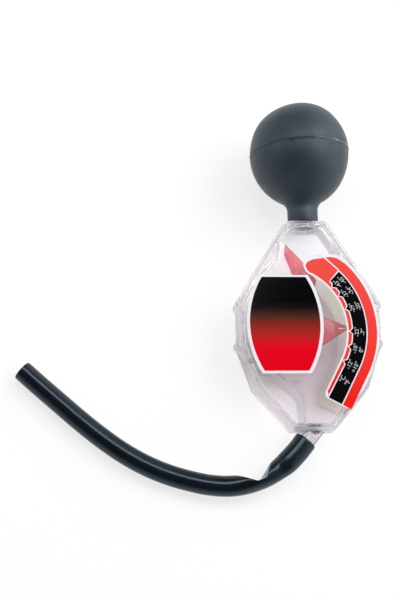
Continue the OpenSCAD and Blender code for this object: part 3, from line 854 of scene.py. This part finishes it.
def make_spout():
    bm = bmesh.new()
    rod(bm, (0, 0), 6.5, 2.0, 3.2, 72, "y")
    disc = link("inlet_fitting", bm, None, 40, None)
    tube = bmesh.new()
    prof = [(0, -18), (4.5, -18), (4.5, 4.3), (4.42, 4.5), (4.05, 5.7), (TIP_R, 6), (TIP_R, SPOUT_LEN - 0.2),
            (3.85, SPOUT_LEN), (0, SPOUT_LEN)]
    lathe(tube, prof, 72, "z", around=False)
    tube.transform(SPOUT)
    pipe = link("pipe", tube, None, 40, None)
    # the tube ends at the collar's inner side
    below = bmesh.new()
    prism(below, [(-40, -40), (40, -40), (40, 3.2), (-40, 3.2)], -30, 30)
    cut(pipe, link("below", below, None, 30, None), "INTERSECT")
    cut(disc, pipe, "UNION")
    bore = bmesh.new()
    # its extra ring lets the bore's painted shade end there
    lathe(bore, [(0, -20), (2.8, -20), (2.8, -0.9), (2.8, 16), (0, 16)], 64, "z", around=False)
    bore.transform(SPOUT)
    cut(disc, link("bore", bore, None, 30, None), "DIFFERENCE")
    disc.data.transform(CASE)
    smooth(disc, 35)
    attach(disc, "tester")
    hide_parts("inlet_spout")
    dress(disc, CLEAR_TUBE)
    paint_bore_shade(disc, BORE_PAINTED_DARK, SPOUT.to_3x3() @ Vector((0, 0, 1)), 3.0, lambda p: p.y > 1.2)


make_nipple()
make_spout()


# ------------------------------------------------------------------ float, weight, pin and level blade
def bevelled_prism(bm, pts, z0, z1, b, steps=3):
    """Straight solid over a plan, with rounded upper and lower edges."""
    pts = [Vector(p) for p in pts]
    area = sum(p.x * q.y - q.x * p.y for p, q in zip(pts, pts[1:] + pts[:1]))
    if area > 0:
        pts = pts[::-1]
    rings = []
    for k in range(steps + 1):
        t = math.pi / 2 * k / steps
        rings.append(flat(moved_in(pts, b * (1 - math.sin(t))), z0 + b * (1 - math.cos(t))))
    for k in range(steps, -1, -1):
        t = math.pi / 2 * k / steps
        rings.append(flat(moved_in(pts, b * (1 - math.sin(t))), z1 - b * (1 - math.cos(t))))
    loft(bm, rings, cap_start=True, cap_end=True)


READ_R, TAIL = 35.0, (-9, 0)


def arrow_w(x):
    """Half of the arrow head's width."""
    return (READ_R - x) * math.tan(math.radians(27.5))


def make_float():
    # half the thickness of the float and of its pointer
    ft, pt = 2.8, 0.7
    body = bmesh.new()
    plan = [(-9, -3.0), (0, -3.6), (13, -3.6), (18, -arrow_w(18) + 0.5), (28.6, -arrow_w(28.6) + 0.5),
            (25.6, arrow_w(25.6) - 0.5), (18, arrow_w(18) - 0.5), (13, 3.6), (0, 3.6), (-9, 3.0)]
    bevelled_prism(body, plan, -ft, ft, 0.25)
    obj = link("float_arrow", body, None, 35, None)
    extra = bmesh.new()
    rod(extra, (0, 0), 4.0, -ft, ft, 64)
    rod(extra, TAIL, 3.6, -ft, ft, 64)
    plan = [(0, -3), (15, -4), (17, -arrow_w(17)), (READ_R, 0), (17, arrow_w(17)), (15, 4), (0, 3)]
    bevelled_prism(extra, plan, -pt, pt, 0.12, 2)
    cut(obj, link("extra", extra, None, 35, None), "UNION")
    # bores for the pin and the slug, and the slit in the tip
    tools = bmesh.new()
    rod(tools, (0, 0), 1.05, -5, 5, 40)
    rod(tools, TAIL, 2.35, -5, 5, 48)
    prism(tools, [(29.0, -0.35), (33.2, -0.35), (33.2, 0.35), (29.0, 0.35)], -2, 2)
    cut(obj, link("tools", tools, None, 35, None), "DIFFERENCE")
    obj.data.transform(FLOAT)
    smooth(obj, 35)
    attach(obj, "float")
    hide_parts("float_pointer")
    dress(obj, RED_FLOAT)
    slug = bmesh.new()
    prof = [(0, -ft), (2.15, -ft), (2.3, -ft + 0.15), (2.3, ft - 0.15), (2.15, ft), (0, ft)]
    lathe(slug, prof, 64, "z", around=False)
    slug.transform(Matrix.Translation((*TAIL, 0)))
    obj = link("float_slug", slug, FLOAT, 35, "float")
    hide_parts("float_weight")
    dress(obj, BRASS)


def make_pin():
    bm = bmesh.new()
    lathe(bm, [(0, -7.5), (0.8, -7.5), (1.0, -7.3), (1.0, 7.3), (0.8, 7.5), (0, 7.5)], 48, "z", around=False)
    bm.transform(Matrix.Translation(PIVOT))
    obj = link("swing_pin", bm, CASE, 35)
    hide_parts("pivot_pin")
    dress(obj, STEEL)


def make_blade():
    z1 = -5.0
    z0 = z1 - 1.5
    peg = PEGS[0]
    heel = polar(peg, 7.5, -68)
    plan = ([(-8.6, 95.6), (0.3, 85.9), (6.4, 76.7), (5.6, 74.2)] + arc(peg, 4.2, 30, 0, 4)
            + arc(heel, 3.6, -10, -140, 12) + arc(peg, 4.2, 190, 165, 3) + [(-5.4, 79.5), (-9.2, 90.2)])
    bm = bmesh.new()
    bevelled_prism(bm, plan, z0, z1, 0.18, 2)
    obj = link("level_mark", bm, None, 35, None)
    tools = bmesh.new()
    for c in (peg, heel):
        rod(tools, c, 1.35, z0 - 1, z1 + 1, 32)
    cut(obj, link("tools", tools, None, 35, None), "DIFFERENCE")
    obj.data.transform(CASE)
    smooth(obj, 35)
    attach(obj, "tester")
    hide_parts("level_blade")
    dress(obj, RED_BLADE)


make_float()
make_pin()
make_blade()


# ------------------------------------------------------------------ printed labels
C2 = Vector((PIVOT.x, PIVOT.y))
# the label's outer side, the thickness of a print, and how high the figures stand
LABEL_Z, PRINT_T, FIGURE_UP, FIGURE_T = HALF_T + 0.2, 0.035, 0.05, 0.015
# the angles of the readings; the scale runs straight on below the lowest one
TEETH = [40.3, 30.9, 18.2, -1.2, -14.4, -27.8]
LOWEST = TEETH[-1]
DOWN = Vector((math.sin(math.radians(LOWEST)), -math.cos(math.radians(LOWEST))))
FIGURES = [("-43°", "-45°"), ("-37°", "-34°"), ("-29°", "-20°"),
           ("-22°", "-7°"), ("-18°", "0°"), ("-12°", "+10°")]
FIGURE_R = (35.9, 38.9)
# radii of the inner red band, the black band and the outer red band
R_INNER, R_BLACK, R_OUTER = (31.9, 33.45), (34.05, 40.6), (41.2, 45.8)


def film(name, pts, mat, slot, rear):
    """A thin printed area over a label, on the front or the rear face."""
    bm = bmesh.new()
    prism(bm, pts, LABEL_Z, LABEL_Z + PRINT_T)
    if rear:
        bm.transform(Matrix.Scale(-1, 4, (0, 0, 1)))
    dress(link(("rear_" if rear else "front_") + name, bm, CASE, 30), mat)


def barrel(half, half_end, y0, y1, n=24, cx=-12.75):
    """Plan with straight ends and arched sides."""
    h = (y1 - y0) / 2
    sag = half - half_end
    r = (h * h + sag * sag) / (2 * sag)
    a = math.degrees(math.asin(h / r))
    mid = (y0 + y1) / 2
    return arc((cx + half - r, mid), r, a, -a, n) + arc((cx - half + r, mid), r, 180 + a, 180 - a, n)


def notched(r, tip, half, top=45.4):
    """Arc round the pivot with a pointed notch at every reading."""
    pts = [(top, r)]
    w = math.degrees(half / r)
    for m in TEETH:
        start = pts[-1][0]
        n = max(2, int((start - m - w) / 1.5))
        pts += [(start + (m + w - start) * k / n, r) for k in range(1, n + 1)]
        pts += [(m + w * 0.06, tip), (m - w * 0.06, tip), (m - w, r)]
    return [polar(C2, radius, angle) for angle, radius in pts]


def figure(body, size, where, angle, rear):
    """Mesh of a figure on a label."""
    data = bpy.data.curves.new("figure", "FONT")
    data.body = body
    data.size = size
    data.align_x = "CENTER"
    data.align_y = "CENTER"
    data.resolution_u = 3
    data.extrude = FIGURE_T
    obj = bpy.data.objects.new("figure", data)
    bpy.context.scene.collection.objects.link(obj)
    bpy.context.view_layer.update()
    deps = bpy.context.evaluated_depsgraph_get()
    mesh = bpy.data.meshes.new_from_object(obj.evaluated_get(deps))
    bpy.data.objects.remove(obj)
    z = LABEL_Z + FIGURE_UP
    if rear:
        m = (Matrix.Translation((where[0], where[1], -z)) @ Matrix.Rotation(math.radians(angle - 90), 4, "Z")
             @ Matrix.Rotation(math.pi, 4, "X"))
    else:
        m = Matrix.Translation((where[0], where[1], z)) @ Matrix.Rotation(math.radians(angle + 90), 4, "Z")
    mesh.transform(CASE @ m)
    return mesh


def make_print(rear):
    film("badge_field", barrel(17.1, 10.75, *BADGE_Y), BADGE, "badge_print", rear)
    # inner red band, its tab, and the straight lower end
    low_in = polar(C2, R_INNER[0], LOWEST)
    red_low = [low_in + DOWN * 17.2, low_in + DOWN * 18.9 + Vector((1.2, -0.2)),
               polar(C2, 33.0, LOWEST) + DOWN * 19.6]
    tab = [Vector(p) for p in ((0.5, 76.7), (-1.0, 78.2), (-1.7, 80.4), (-0.9, 82.1), (2.0, 83.5), (6.7, 84.2),
                               (7.6, 84.2), (14.3, 78.0))]
    outer_edge = notched(R_INNER[1], 32.05, 1.35) + [polar(C2, R_INNER[1], LOWEST) + DOWN * 2.6, red_low[2]]
    back = [red_low[1], red_low[0]] + arc(C2, R_INNER[0], LOWEST, 62.5, 40)
    film("red_inner", [Vector((10.0, 73.0))] + outer_edge + back + tab, PRINT_RED, "scale_print", rear)
    # black band
    black_low = [polar(C2, R_BLACK[1], LOWEST) + DOWN * 19.6, polar(C2, 33.6, LOWEST) + DOWN * 19.6]
    black = (notched(R_BLACK[0], 32.7, 1.3)[::-1] + [Vector((10.4, 72.9)), Vector((14.6, 77.3))]
             + arc(C2, R_BLACK[1], 45.2, LOWEST, 40) + black_low)
    film("black_band", black, PRINT_BLACK, "scale_print", rear)
    # outer red band
    top = [(8.3, 84.5), (10.3, 84.7), (12.2, 84.6), (13.9, 84.1), (15.4, 83.2), (16.7, 82.2)]
    outer = ([Vector(q) for q in top]
             + arc(C2, R_OUTER[1], 46.5, LOWEST, 44)
             + [polar(C2, R_OUTER[1], LOWEST) + DOWN * 19.7, polar(C2, R_OUTER[0], LOWEST) + DOWN * 19.7]
             + arc(C2, R_OUTER[0], LOWEST, 45.8, 44) + [Vector((14.6, 78.6))])
    film("red_outer", outer, PRINT_RED, "scale_print", rear)
    meshes = [figure(body, 2.9, polar(C2, r, angle - 0.4), angle, rear)
              for angle, pair in zip(TEETH, FIGURES) for body, r in zip(pair, FIGURE_R)]
    for body, r, low in (("°C", 35.8, 8.4), ("°F", 38.7, 9.0)):
        meshes.append(figure(body, 3.2, polar(C2, r, LOWEST) + DOWN * low, LOWEST, rear))
    bm = bmesh.new()
    for m in meshes:
        bm.from_mesh(m)
        bpy.data.meshes.remove(m)
    bmesh.ops.remove_doubles(bm, verts=bm.verts, dist=0.000001)
    dress(link("rear_figures" if rear else "front_figures", bm, None, 30), PRINT_WHITE)


make_print(False)
make_print(True)
for name, mat in (("front_badge", WHITE), ("front_scale_label", WHITE), ("rear_badge", BACKING_ROSE),
                  ("rear_scale_label", BACKING)):
    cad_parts[name].data.materials.clear()
    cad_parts[name].data.materials.append(mat)


# ------------------------------------------------------------------ floor and light
WORLD_STRENGTH = 3.0
# name, place, size, watts, and the direction of its first side
LAMPS = [("key", (0.52, 0.28, 0.80), (0.6, 0.5), 5.3, None),
         ("strip", (-0.13, 0.33, 0.87), (0.66, 0.27), 2.9, (-0.85, 0.435, -0.32)),
         ("fill", (-0.62, 0.22, 0.42), (0.35, 0.5), 1.2, None)]


def grey(v):
    return (v, v, v)


def make_floor():
    bm = bmesh.new()
    bmesh.ops.create_grid(bm, x_segments=1, y_segments=1, size=3.0)
    mesh = bpy.data.meshes.new("floor")
    bm.to_mesh(mesh)
    bm.free()
    floor = bpy.data.objects.new("floor", mesh)
    bpy.context.scene.collection.objects.link(floor)
    mat, nodes, links, bsdf = material("floor_pale")
    bsdf.inputs["Base Color"].default_value = (*grey(0.95), 1)
    bsdf.inputs["Roughness"].default_value = 0.9
    bsdf.inputs["Specular IOR Level"].default_value = 0.0
    path = nodes.new("ShaderNodeLightPath")
    # a transmission ray is a glossy ray too: below clear plastic most of the floor is seen as it is lit
    below = calc(nodes, links, "MULTIPLY", path.outputs["Is Transmission Ray"], 0.8)
    mirrored = calc(nodes, links, "SUBTRACT", path.outputs["Is Glossy Ray"], below)
    seen = calc(nodes, links, "MAXIMUM", path.outputs["Is Camera Ray"], mirrored)
    # the shadow stays near the object, and far off the floor runs into the white of the backdrop
    coord = nodes.new("ShaderNodeTexCoord")
    reach = add(nodes, "ShaderNodeVectorMath", operation="LENGTH")
    links.new(coord.outputs["Object"], reach.inputs[0])
    glowing = span(nodes, links, reach.outputs["Value"], 0.75, 1.0, 0.3, 1.0)
    glow = add(nodes, "ShaderNodeEmission", Color=(*grey(1.0), 1), Strength=1.0)
    surface(nodes, links, calc(nodes, links, "MULTIPLY", seen, glowing), bsdf.outputs[0], glow.outputs[0])
    mesh.materials.append(mat)


def make_world():
    """A wide bright side on the right, pale round the horizon and dark overhead, as in a studio. The camera and
    clear plastic see it white."""
    world = bpy.data.worlds.new("studio")
    bpy.context.scene.world = world
    world.use_nodes = True
    nodes, links = world.node_tree.nodes, world.node_tree.links
    coord = nodes.new("ShaderNodeTexCoord")
    toward = add(nodes, "ShaderNodeVectorMath", operation="DOT_PRODUCT")
    toward.inputs[1].default_value = Vector((0.93, 0.25, 0.28)).normalized()
    links.new(coord.outputs["Generated"], toward.inputs[0])
    side = ramp(nodes, links, toward.outputs["Value"], [(0.45, grey(0.0)), (0.78, grey(0.45)), (0.95, grey(1.0))])
    up = parts_of(nodes, links, coord.outputs["Generated"])["Z"]
    low = ramp(nodes, links, up, [(0.0, grey(0.28)), (0.2, grey(0.21)), (0.5, (0.02, 0.02, 0.021))])
    sky = blend(nodes, links, 0.6, low, side, "ADD")
    path = nodes.new("ShaderNodeLightPath")
    seen = calc(nodes, links, "MAXIMUM", path.outputs["Is Camera Ray"], path.outputs["Is Transmission Ray"])
    back = nodes["Background"]
    links.new(blend(nodes, links, seen, sky, grey(1 / WORLD_STRENGTH)), back.inputs["Color"])
    back.inputs["Strength"].default_value = WORLD_STRENGTH


def make_lamp(name, where, size, watts, along):
    data = bpy.data.lights.new(name, "AREA")
    data.shape = "RECTANGLE"
    data.size, data.size_y = size
    data.energy = watts
    obj = bpy.data.objects.new(name, data)
    obj.location = where
    aim = (-Vector(where)).normalized()
    if along:
        x = (Vector(along) - aim * aim.dot(Vector(along))).normalized()
        obj.rotation_euler = Matrix((x, (-aim).cross(x), -aim)).transposed().to_euler()
    else:
        obj.rotation_euler = aim.to_track_quat("-Z", "Y").to_euler()
    bpy.context.scene.collection.objects.link(obj)


make_floor()
make_world()
for lamp in LAMPS:
    make_lamp(*lamp)
bpy.context.scene.view_settings.view_transform = "Standard"
bpy.context.view_layer.update()
